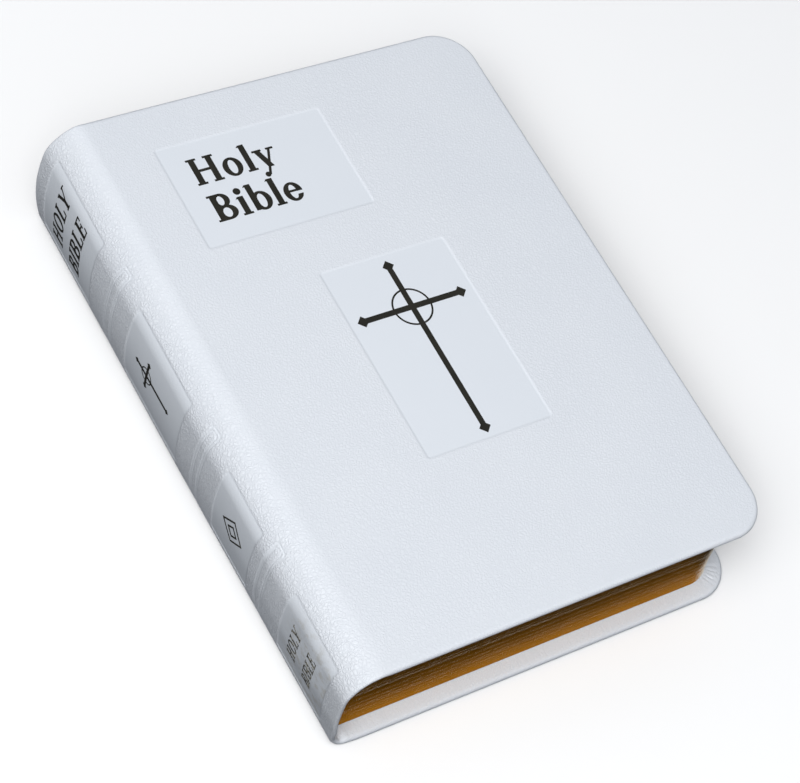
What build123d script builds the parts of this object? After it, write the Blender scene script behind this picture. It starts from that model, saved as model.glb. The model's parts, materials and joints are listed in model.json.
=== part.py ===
"""Flexible leather-covered bible, closed, lying on its back cover.

Frame: +Z up, spine along Y with the head at +Y, spine on the -X side, fore edge on the +X side.
Origin: centre of the bottom of the bounding box. Millimetres.
"""
from math import sqrt
import os

from build123d import *

os.makedirs("parts", exist_ok=True)

# ---- driving dimensions ----
width = 131.0                # spine to the fore edge of the back cover
height = 165.0               # head to tail, over the covers
thickness = 39.0             # outer face to outer face
lean = 6.5                   # the limp book leans: the front cover sits this far back toward the spine
cover_corner = 11.0          # rounded fore corners of the covers

# cover layers, from the outer face inward
leather = 0.8
board_thick = 0.8
turn_in = 0.6                # leather skived and folded over onto the inner face
turn_in_width = 12.0
pastedown_thick = 0.2
pastedown_margin = 5.2
cover_thick = leather + board_thick + turn_in + pastedown_thick

# spine cross-section: front shoulder, long back curve, small rear corner
shoulder_r = 10.0
back_curve_r = 85.0
rear_corner_r = 6.0
inlay = (0.85, 1.35)         # flexible spine card, depths from the outer face
mull = (1.40, 1.58)          # open cloth glued over the folds
thread = (1.62, 1.92)        # sewing thread lying over the folds
fold_depth = 2.0             # where the section folds begin

# text block
sections_per_block = 12
blocks = 4
section_thick = 0.70
section_gap = 0.01
block_height = 156.0
block_corner = 8.5
fore_square = 4.0            # cover overhang at the fore edge
fore_hollow = 1.6            # how far the fore edge is hollow at mid thickness
flyleaf_thick = 0.15
flyleaf_clear = 0.05
glue_line = 3.0              # how far past the joint the endpapers are tipped to the block
cap_inner = 78.8             # the leather is turned in over the spine card beyond this
headband_thick = 1.5
thread_stations = (-66, -40, -14, 14, 40, 66)
thread_width = 0.9
thread_short = 3.5           # the thread stops at the outermost folds, clear of the free endpapers

# stamped decoration on the front cover
stamp_depth = 0.15
foil_thick = 0.05
title_panel = (-42.0, 37.3, 48.8, 31.7)      # left, lower, width, height
cross_panel = (-18.4, -35.3, 37.4, 57.2)
panel_corner = 0.8
title_cap = 8.2              # cap height of the title
cross_centre = (0.3, 5.4)
cover_cross = dict(up=14.6, down=39.2, side=16.4, across=1.6, ring_r=5.3, ring_width=0.5, tip=3.4)
spine_cross = dict(up=6.0, down=12.0, side=5.5, across=0.9, ring_r=2.4, ring_width=0.35, tip=1.8)
clear = 0.02                 # parting gap between strips on neighbouring bodies

# ---- derived places ----
spine_x = -width / 2
back_fore_x = width / 2
front_fore_x = back_fore_x - lean
shoulder = (spine_x + shoulder_r, thickness - shoulder_r)
back_curve = (spine_x + back_curve_r, shoulder[1])
rear_corner = (
    back_curve[0] - sqrt((back_curve_r - rear_corner_r) ** 2 - (back_curve[1] - rear_corner_r) ** 2),
    rear_corner_r,
)
front_joint_x = shoulder[0]          # where the front cover flexes
back_joint_x = rear_corner[0]        # where the back cover flexes
block_bottom = cover_thick + 2 * flyleaf_clear + flyleaf_thick + 0.05
section_pitch = (thickness - 2 * block_bottom) / (blocks * sections_per_block)
block_pitch = section_pitch * sections_per_block
levels = [thickness - block_bottom - n * block_pitch for n in range(blocks + 1)]


def tangent_point(depth):
    """Where the long back curve meets the rear corner, at a depth below the outer surface."""
    dx, dz = rear_corner[0] - back_curve[0], rear_corner[1] - back_curve[1]
    reach = (back_curve_r - depth) / sqrt(dx * dx + dz * dz)
    return back_curve[0] + dx * reach, back_curve[1] + dz * reach


def spine_at(z, depth):
    """X of the spine surface at height z, at a depth below the outer surface."""
    centre, radius = back_curve, back_curve_r
    if z > shoulder[1]:
        centre, radius = shoulder, shoulder_r
    elif z < tangent_point(depth)[1]:
        centre, radius = rear_corner, rear_corner_r
    return centre[0] - sqrt((radius - depth) ** 2 - (z - centre[1]) ** 2)


def spine_outline(depth):
    """Adds the closed outline of everything inside the spine surface to the current sketch."""
    right = 0.0
    top, low = thickness - depth, depth
    left = spine_x + depth
    half = shoulder_r - depth
    bend = (shoulder[0] - half * sqrt(0.5), shoulder[1] + half * sqrt(0.5))
    meet = tangent_point(depth)
    middle_z = (shoulder[1] + meet[1]) / 2
    middle = (back_curve[0] - sqrt((back_curve_r - depth) ** 2 - (middle_z - back_curve[1]) ** 2), middle_z)
    small = rear_corner_r - depth
    turn = (rear_corner[0] - small * sqrt(0.5), rear_corner[1] - small * sqrt(0.5))
    with BuildLine() as outline:
        Line((right, top), (shoulder[0], top))
        ThreePointArc((shoulder[0], top), bend, (left, shoulder[1]))
        ThreePointArc((left, shoulder[1]), middle, meet)
        ThreePointArc(meet, turn, (rear_corner[0], low))
        Line((rear_corner[0], low), (right, low))
        Line((right, low), (right, top))
    make_face(outline.edges())


def strip_bounds(n):
    """Lower left corner and size of the window of the spine that belongs to block n."""
    top = thickness + 1 if n == 0 else levels[n] - clear
    low = -1.0 if n == blocks - 1 else levels[n + 1] + clear
    return low, top


def spine_sketch(n, outer, inner, short=clear):
    """Adds block n's part of one spine layer, ending short of the cover joint, to the current sketch."""
    low, top = strip_bounds(n)
    joint = front_joint_x if n < 2 else back_joint_x
    spine_outline(outer)
    with BuildSketch(mode=Mode.PRIVATE) as inside:
        spine_outline(inner)
    add(inside.sketch, mode=Mode.SUBTRACT)
    left = spine_x - 1
    with Locations(((left + joint - short) / 2, (low + top) / 2)):
        Rectangle(joint - short - left, top - low, mode=Mode.INTERSECT)


def cover_outline(fore_x, joint_x, inset):
    """Adds the plan of a cover, inset on its three free edges, to the current sketch."""
    left, right = joint_x + clear, fore_x - inset
    half = height / 2 - inset
    radius = max(cover_corner - inset, 1.5)
    with Locations(((left + right) / 2, 0)):
        Rectangle(right - left, 2 * half)
    fore_corners = vertices().sort_by(Axis.X)[-2:]
    fillet(fore_corners, radius)


# A cover: leather folded over a thin flexible board, an infill card between the turn-ins and the
# endpaper pasted over both. "up" is +1 for the front cover, -1 for the back cover.
covers = {
    "front": {"fore": front_fore_x, "joint": front_joint_x, "face": thickness, "up": 1},
    "back": {"fore": back_fore_x, "joint": back_joint_x, "face": 0.0, "up": -1},
}

for side, cover in covers.items():
    fore, joint, face, up = cover["fore"], cover["joint"], cover["face"], cover["up"]
    board_face = face - up * leather
    lip_face = board_face - up * board_thick
    paste_face = lip_face - up * turn_in

    with BuildPart() as cover_leather:
        with BuildSketch(Plane.XY.offset(face)):
            cover_outline(fore, joint, 0)
        extrude(amount=-up * (leather + board_thick + turn_in))
        with BuildSketch(Plane.XY.offset(board_face)):
            cover_outline(fore, joint, leather)
        extrude(amount=-up * board_thick, mode=Mode.SUBTRACT)
        with BuildSketch(Plane.XY.offset(lip_face)):
            cover_outline(fore, joint, turn_in_width)
        extrude(amount=-up * turn_in, mode=Mode.SUBTRACT)
        if side == "front":
            for left, lower, across, tall in (title_panel, cross_panel):
                with BuildSketch(Plane.XY.offset(face)):
                    with Locations((left + across / 2, lower + tall / 2)):
                        RectangleRounded(across, tall, panel_corner)
                extrude(amount=-stamp_depth, mode=Mode.SUBTRACT)
    cover_leather.part.label = f"{side}_cover_leather"
    export_step(cover_leather.part, f"parts/{side}_cover_leather.step")

    with BuildPart() as board:
        with BuildSketch(Plane.XY.offset(board_face)):
            cover_outline(fore, joint, leather)
        extrude(amount=-up * board_thick)
    board.part.label = f"{side}_board"
    export_step(board.part, f"parts/{side}_board.step")

    with BuildPart() as infill:
        with BuildSketch(Plane.XY.offset(lip_face)):
            cover_outline(fore, joint, turn_in_width)
        extrude(amount=-up * turn_in)
    infill.part.label = f"{side}_infill"
    export_step(infill.part, f"parts/{side}_infill.step")

    with BuildPart() as pastedown:
        with BuildSketch(Plane.XY.offset(paste_face)):
            cover_outline(fore, joint, pastedown_margin)
        extrude(amount=-up * pastedown_thick)
    pastedown.part.label = f"{side}_pastedown"
    export_step(pastedown.part, f"parts/{side}_pastedown.step")

# ---- leaf blocks: twelve folded sections each, with their own stretch of every spine layer ----


def fore_edge_at(z):
    """X of the block's hollow, leaning fore edge at height z."""
    share = z / thickness
    middle = 1 - (2 * share - 1) ** 2
    return back_fore_x - fore_square - lean * share - fore_hollow * middle


for n in range(blocks):
    with BuildPart() as leaves:
        for k in range(sections_per_block):
            top = levels[n] - k * section_pitch - section_gap
            low = levels[n] - (k + 1) * section_pitch + section_gap
            left = max(spine_at(top, fold_depth), spine_at(low, fold_depth))
            right = fore_edge_at((top + low) / 2)
            with BuildSketch(Plane.XY.offset(low)):
                with Locations(((left + right) / 2, 0)):
                    Rectangle(right - left, block_height)
                fillet(vertices().sort_by(Axis.X)[-2:], block_corner)
            extrude(amount=top - low)
    leaves.part.label = f"leaves_{n + 1}"
    export_step(leaves.part, f"parts/leaves_{n + 1}.step")

    with BuildPart() as spine_leather:
        with BuildSketch(Plane.XZ):
            spine_sketch(n, 0, leather)
        extrude(amount=height / 2, both=True)
        for sign in (-1, 1):
            with BuildSketch(Plane.XZ.offset(-sign * cap_inner)):
                spine_sketch(n, leather, inlay[1])
            extrude(amount=-sign * (height / 2 - cap_inner))
    spine_leather.part.label = f"spine_leather_{n + 1}"
    export_step(spine_leather.part, f"parts/spine_leather_{n + 1}.step")

    with BuildPart() as spine_inlay:
        with BuildSketch(Plane.XZ):
            spine_sketch(n, *inlay)
        extrude(amount=cap_inner - clear, both=True)
    spine_inlay.part.label = f"spine_inlay_{n + 1}"
    export_step(spine_inlay.part, f"parts/spine_inlay_{n + 1}.step")

    with BuildPart() as mull_cloth:
        with BuildSketch(Plane.XZ):
            spine_sketch(n, *mull)
        extrude(amount=block_height / 2 - 6, both=True)
    mull_cloth.part.label = f"mull_{n + 1}"
    export_step(mull_cloth.part, f"parts/mull_{n + 1}.step")

    with BuildPart() as sewing:
        for station in thread_stations:
            with BuildSketch(Plane.XZ.offset(-station)):
                spine_sketch(n, *thread, short=thread_short)
            extrude(amount=thread_width / 2, both=True)
    sewing.part.label = f"sewing_thread_{n + 1}"
    export_step(sewing.part, f"parts/sewing_thread_{n + 1}.step")

    with BuildPart() as headbands:
        for sign in (-1, 1):
            with BuildSketch(Plane.XZ.offset(-sign * (block_height / 2 + clear))):
                spine_sketch(n, inlay[1] + clear, inlay[1] + headband_thick)
            extrude(amount=-sign * headband_thick)
    headbands.part.label = f"headbands_{n + 1}"
    export_step(headbands.part, f"parts/headbands_{n + 1}.step")

# ---- free endpapers: tipped to the block along the spine, and hinged where the glue line ends ----
flyleaf_left = {"front": front_joint_x + glue_line, "back": back_joint_x + glue_line}
flyleaf_low = {"front": levels[0] + flyleaf_clear, "back": levels[-1] - flyleaf_clear - flyleaf_thick}
for side in ("front", "back"):
    left = flyleaf_left[side]
    right = fore_edge_at(flyleaf_low[side]) - 0.3
    with BuildPart() as flyleaf:
        with BuildSketch(Plane.XY.offset(flyleaf_low[side])):
            with Locations(((left + right) / 2, 0)):
                Rectangle(right - left, block_height - 0.6)
            fillet(vertices().sort_by(Axis.X)[-2:], block_corner)
        extrude(amount=flyleaf_thick)
    flyleaf.part.label = f"{side}_flyleaf"
    export_step(flyleaf.part, f"parts/{side}_flyleaf.step")

# ---- lettering: upright strokes, hairlines, slab feet and oval bowls, drawn on a unit cap height ----
stem, hair, slab = 0.205, 0.095, 0.075
x_height = 0.70


def bar(x, y, across, tall):
    with Locations((x + across / 2, y + tall / 2)):
        Rectangle(across, tall)


def ring(x, y, across, tall, heavy):
    """An upright oval bowl, heavier at its sides than at its top and foot."""
    with Locations((x + across / 2, y + tall / 2)):
        Ellipse(across / 2, tall / 2)
        Ellipse(across / 2 - heavy, tall / 2 - hair, mode=Mode.SUBTRACT)


def slant(foot_x, foot_y, head_x, head_y, across):
    with BuildLine() as outline:
        Polyline((foot_x, foot_y), (foot_x + across, foot_y), (head_x + across, head_y), (head_x, head_y),
                 close=True)
    make_face(outline.edges())


def feet(xs, y, across):
    for x in xs:
        bar(x, y, across, slab)


def capital_h():
    for x in (0.07, 0.66):
        bar(x, 0, stem, 1)
    bar(0.1, 0.47, 0.7, hair)
    for y in (0, 1 - slab):
        feet((0, 0.59), y, 0.35)
    return 1.06


def capital_o():
    ring(0.02, -0.01, 0.86, 1.02, stem)
    return 1.0


def capital_l():
    bar(0.08, 0, stem, 1)
    bar(0, 0, 0.66, slab)
    slant(0.56, 0, 0.60, 0.3, 0.1)
    feet((0,), 1 - slab, 0.37)
    return 0.78


def capital_y():
    bar(0.34, 0, stem, 0.5)
    slant(0.34, 0.42, 0.05, 1, stem)
    slant(0.45, 0.42, 0.76, 1, hair)
    feet((0.26,), 0, 0.37)
    feet((0, 0.65), 1 - slab, 0.3)
    return 1.0


def capital_b():
    ring(0.08, 0.46, 0.62, 0.54, stem * 0.95)
    ring(0.08, 0, 0.70, 0.55, stem)
    bar(0.08, 0, stem, 1)
    feet((0,), 0, 0.4)
    feet((0,), 1 - slab, 0.4)
    return 0.88


def capital_i():
    bar(0.08, 0, stem, 1)
    feet((0,), 0, 0.365)
    feet((0,), 1 - slab, 0.365)
    return 0.48


def capital_e():
    bar(0.08, 0, stem, 1)
    bar(0, 0, 0.66, slab)
    bar(0, 1 - slab, 0.62, slab)
    bar(0.2, 0.47, 0.34, hair)
    slant(0.57, 0, 0.62, 0.28, 0.08)
    slant(0.57, 1, 0.54, 0.74, 0.08)
    bar(0.48, 0.38, 0.07, 0.27)
    return 0.8


def small_o():
    ring(0, -0.01, 0.66, x_height + 0.02, stem * 0.95)
    return 0.75


def small_l():
    bar(0.07, 0, stem, 1.04)
    feet((0,), 0, 0.345)
    slant(0, 1.04 - slab, 0.07, 1.04, 0.15)
    return 0.41


def small_y():
    slant(0.30, 0, 0.05, x_height, stem)
    slant(0.16, -0.28, 0.58, x_height, hair)
    with Locations((0.14, -0.25)):
        Circle(0.095)
    feet((0,), x_height - slab, 0.33)
    feet((0.5,), x_height - slab, 0.26)
    return 0.78


def small_i():
    bar(0.07, 0, stem, x_height)
    feet((0,), 0, 0.345)
    slant(0, x_height - slab, 0.07, x_height, 0.15)
    with Locations((0.17, x_height + 0.2)):
        Circle(0.125)
    return 0.41


def small_b():
    ring(0.07, -0.01, 0.66, x_height + 0.02, stem * 0.95)
    bar(0.07, 0.04, stem, 1)
    slant(0, 1.04 - slab, 0.07, 1.04, 0.15)
    return 0.80


def small_e():
    ring(0, -0.01, 0.64, x_height + 0.02, stem * 0.95)
    with Locations((0.56, x_height * 0.40)):
        Rectangle(0.34, 0.11, mode=Mode.SUBTRACT)
    bar(0.12, x_height * 0.49, 0.48, hair * 0.85)
    return 0.71


def write_line(letters, x, y, cap_height):
    """Adds one line of lettering to the current sketch, its first foot at (x, y)."""
    cursor = x
    for draw in letters:
        with BuildSketch(mode=Mode.PRIVATE) as glyph:
            advance = draw()
        add(scale(glyph.sketch, by=cap_height, mode=Mode.PRIVATE).moved(Location((cursor, y))))
        cursor += advance * cap_height


def ringed_cross(x, y, up, down, side, across, ring_r, ring_width, tip):
    """Adds a ringed cross with lozenge tips to the current sketch, its crossing at (x, y)."""
    with Locations((x, y)):
        Circle(ring_r + ring_width / 2)
        Circle(ring_r - ring_width / 2, mode=Mode.SUBTRACT)
        Rectangle(2 * side - tip, across)
    with Locations((x, y + (up - down) / 2)):
        Rectangle(across, up + down - tip)
    ends = [(x - side + tip / 2, y), (x + side - tip / 2, y), (x, y + up - tip / 2), (x, y - down + tip / 2)]
    with Locations(*ends):
        Rectangle(tip * sqrt(0.5), tip * sqrt(0.5), rotation=45)


# ---- black foil in the two sunk panels of the front cover ----
foil_face = thickness - stamp_depth
title_lines = (
    ((capital_h, small_o, small_l, small_y), title_panel[1] + 18.4),
    ((capital_b, small_i, small_b, small_l, small_e), title_panel[1] + 6.6),
)
with BuildPart() as title_foil:
    with BuildSketch(Plane.XY.offset(foil_face)):
        for letters, line_y in title_lines:
            write_line(letters, title_panel[0] + 6.4, line_y, title_cap)
    extrude(amount=foil_thick)
title_foil.part.label = "title_foil"
export_step(title_foil.part, "parts/title_foil.step")

with BuildPart() as cross_foil:
    with BuildSketch(Plane.XY.offset(foil_face)):
        ringed_cross(*cross_centre, **cover_cross)
    extrude(amount=foil_thick)
cross_foil.part.label = "cross_foil"
export_step(cross_foil.part, "parts/cross_foil.step")

# ---- foil on the spine, pressed on the outer face and cut with the leather beneath it ----
spine_plane = Plane(origin=(spine_x - 5, 0, 0), x_dir=(0, 0, 1), z_dir=(-1, 0, 0))
holy = (capital_h, capital_o, capital_l, capital_y)
bible = (capital_b, capital_i, capital_b, capital_l, capital_e)


foil_crumb = 0.002            # cubic mm: where a seam shaves less than this off a letter, the crumb falls away


def spine_design():
    """Adds all the spine's lettering and ornaments to the current sketch; x is height, y is along the spine."""
    write_line(holy, 9.3, 66.0, 5.6)
    write_line(bible, 9.3, 56.5, 5.6)
    ringed_cross(20.0, 18.5, **spine_cross)
    for size in (7.0, 3.4):
        with Locations((20.0, -28.5)):
            Rectangle(size, size, rotation=45)
            Rectangle(size - 1.1, size - 1.1, rotation=45, mode=Mode.SUBTRACT)
    write_line(holy, 12.0, -62.5, 3.9)
    write_line(bible, 12.0, -70.0, 3.9)


for n in range(blocks):
    with BuildPart() as spine_foil:
        with BuildSketch(Plane.XZ):
            spine_sketch(n, -foil_thick, 0)
        extrude(amount=height / 2, both=True)
        with BuildSketch(spine_plane):
            spine_design()
        extrude(amount=-14, mode=Mode.INTERSECT)
    foil = Compound([piece for piece in spine_foil.part.solids() if piece.volume > foil_crumb],
                    label=f"spine_foil_{n + 1}")
    export_step(foil, f"parts/spine_foil_{n + 1}.step")

print("block levels", [round(level, 3) for level in levels])
print("joints at x", round(front_joint_x, 3), round(back_joint_x, 3))
print("spine surface at the block levels", [round(spine_at(level, 0), 3) for level in levels[1:-1]])
print("flyleaf hinges", flyleaf_left, {side: round(z, 3) for side, z in flyleaf_low.items()})
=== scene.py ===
import json
from math import acos, asin, cos, pi, radians, sin

import bmesh
import bpy
import numpy as np
from mathutils import Matrix, Vector


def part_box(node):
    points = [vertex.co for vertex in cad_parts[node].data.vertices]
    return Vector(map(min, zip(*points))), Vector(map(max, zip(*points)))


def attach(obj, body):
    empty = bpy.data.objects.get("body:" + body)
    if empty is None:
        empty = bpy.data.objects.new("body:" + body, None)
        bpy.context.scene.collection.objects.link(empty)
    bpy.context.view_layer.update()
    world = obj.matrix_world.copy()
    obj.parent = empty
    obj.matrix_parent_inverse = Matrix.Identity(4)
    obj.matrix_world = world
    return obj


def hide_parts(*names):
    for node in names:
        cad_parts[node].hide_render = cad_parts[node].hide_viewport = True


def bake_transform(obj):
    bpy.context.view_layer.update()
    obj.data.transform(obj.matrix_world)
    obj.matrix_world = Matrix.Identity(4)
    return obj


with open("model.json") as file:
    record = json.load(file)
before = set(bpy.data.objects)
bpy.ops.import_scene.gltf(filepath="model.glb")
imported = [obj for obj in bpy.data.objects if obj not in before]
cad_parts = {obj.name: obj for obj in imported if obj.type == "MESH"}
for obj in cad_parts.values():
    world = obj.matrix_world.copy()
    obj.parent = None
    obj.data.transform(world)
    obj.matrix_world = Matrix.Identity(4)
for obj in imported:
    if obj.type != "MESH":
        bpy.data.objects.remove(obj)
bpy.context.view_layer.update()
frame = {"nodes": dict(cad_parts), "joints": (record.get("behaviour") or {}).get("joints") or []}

# ---------------------------------------------------------------------------------------------
# Cover leather. One sheet of white bonded leather wraps the front cover, the rounded spine and
# the back cover. It is folded over thin flexible boards on three edges, pleated round the fore
# corners, and stamped with sunk panels and narrow bands. Lengths here are millimetres.
# ---------------------------------------------------------------------------------------------
MM = 0.001
joints = {joint["name"]: joint for joint in frame["joints"]}


def joint_place(name):
    x, _, z = joints[name]["pos_m"]
    return x / MM, z / MM


front_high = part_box("front_cover_leather")[1] / MM
back_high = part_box("back_cover_leather")[1] / MM
front_joint, top_face = joint_place("front_cover_hinge")
back_joint, bottom_face = joint_place("back_cover_hinge")
spine_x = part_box("spine_leather_2")[0].x / MM
half_height = front_high.y
flex_levels = [joint_place(name)[1]
               for name in ("front_quarter_opening", "centre_opening", "back_quarter_opening")]

shoulder_r = front_joint - spine_x
back_curve_r, rear_corner_r = 85.0, 6.0
shoulder_z = top_face - shoulder_r
back_curve_x = spine_x + back_curve_r
rear_turn = asin((shoulder_z - rear_corner_r) / (back_curve_r - rear_corner_r))
shoulder_length = shoulder_r * pi / 2
back_length = back_curve_r * rear_turn
rear_length = rear_corner_r * (pi / 2 - rear_turn)
skin_length = shoulder_length + back_length + rear_length


def smooth(value, start, end):
    share = np.clip((value - start) / (end - start), 0, 1)
    return share * share * (3 - 2 * share)


shoulder_peak, shoulder_end = 8.5, 28.0           # distances round the spine
head_drawn_in, tail_stands_out, foot_drawn_in = 0.70, 0.95, 0.55


def settling(s, y):
    """How far the spine stands inside its even curve: the shoulder is drawn in at the head and
    full at the tail, and low down the tail is drawn in a little."""
    rise = smooth(s, 0.0, shoulder_peak) * (1 - smooth(s, shoulder_peak, shoulder_end))
    low = smooth(s, 26.0, 36.0) * (1 - smooth(s, skin_length - 5.5, skin_length - 0.5))
    toward_tail = np.maximum(-np.asarray(y), 0.0) / half_height
    drawn = np.where(np.asarray(y) > 0, head_drawn_in, tail_stands_out)
    return drawn * rise * y / half_height + foot_drawn_in * low * toward_tail


def spine_point(s, depth, y):
    """X and Z at the distance s round the spine from the front joint, this deep in the leather."""
    s, depth = np.broadcast_arrays(np.asarray(s, float), np.asarray(depth + settling(s, y), float))
    turn = np.clip(s / shoulder_r, 0, pi / 2)
    on_back = np.clip((s - shoulder_length) / back_curve_r, 0, rear_turn)
    on_rear = np.clip((s - shoulder_length - back_length) / rear_corner_r, 0, pi / 2 - rear_turn)
    dip = np.where(s > shoulder_length + back_length, rear_turn + on_rear, on_back)
    front = s <= shoulder_length
    nx = np.where(front, -np.sin(turn), -np.cos(dip))
    nz = np.where(front, np.cos(turn), -np.sin(dip))
    centre_x = np.where(front, front_joint, np.where(on_rear > 0, back_joint, back_curve_x))
    centre_z = np.where(front | (on_rear <= 0), shoulder_z, rear_corner_r)
    radius = np.where(front, shoulder_r, np.where(on_rear > 0, rear_corner_r, back_curve_r))
    flat = np.where(s < 0, -s, np.where(s > skin_length, s - skin_length, 0.0))
    return centre_x + nx * (radius - depth) + flat, centre_z + nz * (radius - depth)


def around(z):
    """The distance round the spine at which its surface stands at the height z."""
    if z > shoulder_z:
        return shoulder_r * acos((z - shoulder_z) / shoulder_r)
    return shoulder_length + back_curve_r * asin((shoulder_z - z) / back_curve_r)


spine_middle = around((top_face + bottom_face) / 2)
panel_corner = 0.8
front_panels = [(-42.0, 6.8, 37.3, 69.0), (-18.4, 19.0, -35.3, 21.9)]
spine_panels = [(spine_middle - 14.3, spine_middle + 14.3, low, high)
                for low, high in ((50.0, 77.0), (0.5, 29.6), (-37.5, -19.0), (-76.0, -54.0))]
spine_bands = [(spine_middle - reach, spine_middle + reach, low + inset, low + 3.8 - inset)
               for low in (37.7, -11.2, -45.2) for reach, inset in ((16.6, 0.0), (15.9, 0.75))]
stamp_depth, band_depth, band_width = 0.15, 0.12, 0.22
grid_pitch = 2.4                  # between the grid lines of plain leather
closest_lines = 0.09


def edge_distance(u, v, outline):
    """Signed distance to a rounded rectangle's outline, negative inside it."""
    left, right, low, high = outline
    corner = min(panel_corner, (high - low) / 2 - 0.4)
    away_u = np.abs(u - (left + right) / 2) - (right - left) / 2 + corner
    away_v = np.abs(v - (low + high) / 2) - (high - low) / 2 + corner
    outside = np.hypot(np.maximum(away_u, 0), np.maximum(away_v, 0))
    return outside + np.minimum(np.maximum(away_u, away_v), 0) - corner


def pressing(u, v, panels, bands):
    """How deep the stamps sink the leather, and how flat they press its grain."""
    sunk, flat = np.zeros_like(u), np.zeros_like(u)
    for panel in panels:
        distance = edge_distance(u, v, panel)
        sunk = np.maximum(sunk, stamp_depth * smooth(-distance, -0.42, 0.42))
        flat = np.maximum(flat, smooth(-distance, -0.30, 0.35))
    for band in bands:
        line = np.exp(-((edge_distance(u, v, band) / band_width) ** 2))
        sunk, flat = np.maximum(sunk, band_depth * line), np.maximum(flat, 0.8 * line)
    return sunk, flat


def slack(u, v):
    """The leather's own slight unevenness over the boards."""
    return (0.040 * np.sin(0.071 * u + 1.3) * np.sin(0.052 * v + 0.4)
            + 0.016 * np.sin(0.160 * u - 0.110 * v + 2.1)
            + 0.005 * np.sin(0.310 * u + 0.270 * v) * np.sin(0.190 * v + 1.0))


def stations(low, high, marks, coarse):
    """Grid lines from low to high, close together where a stamped edge crosses them."""
    lines = list(np.linspace(low, high, int(round((high - low) / coarse)) + 1))
    for mark in marks:
        lines += list(mark + np.arange(-1.0, 1.01, 0.2)) + list(mark + np.arange(-4.0, 4.01, 0.5))
    lines = np.array(sorted(line for line in lines if low < line < high))
    kept = lines[np.concatenate([[True], np.diff(lines) > closest_lines])]
    inside = (kept > low + closest_lines) & (kept < high - closest_lines)
    return np.concatenate([[low], kept[inside], [high]])


def make_piece(name, points, faces, finishes, face_finish=None, sharp=None, **marks):
    """A mesh piece from points in millimetres; keeps each point's rest place for its material."""
    mesh = bpy.data.meshes.new(name)
    points = np.asarray(points, float)
    mesh.from_pydata((points * MM).tolist(), [], [list(face) for face in faces])
    rest = mesh.attributes.new("rest_mm", "FLOAT_VECTOR", "POINT")
    rest.data.foreach_set("vector", points.astype(np.float32).ravel())
    for mark, values in marks.items():
        made = mesh.attributes.new(mark, "FLOAT", "POINT")
        made.data.foreach_set("value", np.asarray(values, np.float32))
    for finish in finishes:
        mesh.materials.append(finish)
    if face_finish is not None:
        mesh.polygons.foreach_set("material_index", np.asarray(face_finish, np.int32))
    turned = bmesh.new()
    turned.from_mesh(mesh)
    bmesh.ops.recalc_face_normals(turned, faces=turned.faces)
    turned.to_mesh(mesh)
    turned.free()
    mesh.polygons.foreach_set("use_smooth", np.ones(len(mesh.polygons), bool))
    if sharp is not None:
        mesh.set_sharp_from_angle(angle=radians(sharp))
    piece = bpy.data.objects.new(name, mesh)
    bpy.context.scene.collection.objects.link(piece)
    return piece


def bridge(rows, columns, first=0, closed=False):
    """Quads between neighbouring rows of a grid of points."""
    index = first + np.arange(rows * columns).reshape(rows, columns)
    if closed:
        index = np.concatenate([index, index[:, :1]], axis=1)
    quads = np.stack([index[:-1, :-1], index[1:, :-1], index[1:, 1:], index[:-1, 1:]], axis=-1)
    return quads.reshape(-1, 4).tolist()


class Wire:
    """One output of a finish's nodes. Arithmetic on it adds Math nodes."""

    def __init__(self, finish, socket):
        self.finish, self.socket = finish, socket

    def maths(self, operation, first, second):
        return self.finish.node("Math", {"operation": operation}, {0: first, 1: second})

    def __add__(self, other):
        return self.maths("ADD", self, other)

    def __radd__(self, other):
        return self.maths("ADD", other, self)

    def __sub__(self, other):
        return self.maths("SUBTRACT", self, other)

    def __rsub__(self, other):
        return self.maths("SUBTRACT", other, self)

    def __mul__(self, other):
        return self.maths("MULTIPLY", self, other)

    def __rmul__(self, other):
        return self.maths("MULTIPLY", other, self)


class Finish:
    """A material whose nodes are added one call at a time."""

    def __init__(self, name, owner=None):
        self.material = owner or bpy.data.materials.new(name)
        self.material.use_nodes = True
        self.tree = self.material.node_tree
        self.tree.nodes.clear()

    def node(self, kind, settings=None, sockets=None, out=0):
        made = self.tree.nodes.new("ShaderNode" + kind)
        for setting, value in (settings or {}).items():
            if setting == "stops":
                while len(made.color_ramp.elements) < len(value):
                    made.color_ramp.elements.new(1.0)
                for element, (place, colour) in zip(made.color_ramp.elements, value):
                    element.position, element.color = place, (*colour, 1.0)
            else:
                setattr(made, setting, value)
        for socket, value in (sockets or {}).items():
            if isinstance(value, Wire):
                self.tree.links.new(value.socket, made.inputs[socket])
            else:
                made.inputs[socket].default_value = value
        return Wire(self, made.outputs[out]) if len(made.outputs) else None

    def attribute(self, name, out):
        return self.node("Attribute", {"attribute_name": name}, out=out)

    def step(self, value, start, end):
        """0 before start, 1 after end, smooth between them."""
        return self.node("MapRange", {"interpolation_type": "SMOOTHSTEP"},
                         {"Value": value, "From Min": start, "From Max": end})

    def stretch(self, vector, scale):
        return self.node("VectorMath", {"operation": "MULTIPLY"}, {0: vector, 1: scale})

    def noise(self, vector, scale, detail=3.0, roughness=0.5):
        return self.node("TexNoise", {"normalize": True},
                         {"Vector": vector, "Scale": scale, "Detail": detail,
                          "Roughness": roughness})

    def blend_colours(self, share, first, second):
        return self.node("Mix", {"data_type": "RGBA"},
                         {0: share, 6: (*first, 1.0) if isinstance(first, tuple) else first,
                          7: (*second, 1.0) if isinstance(second, tuple) else second}, out=2)

    def bump(self, height, distance, strength=1.0):
        return self.node("Bump", {}, {"Strength": strength, "Distance": distance, "Height": height})

    def surface(self, **sockets):
        named = {name.replace("_", " ").title().replace("Ior", "IOR"): value
                 for name, value in sockets.items()}
        shader = self.node("BsdfPrincipled", {}, named)
        self.node("OutputMaterial", {}, {"Surface": shader})
        return self.material


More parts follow.
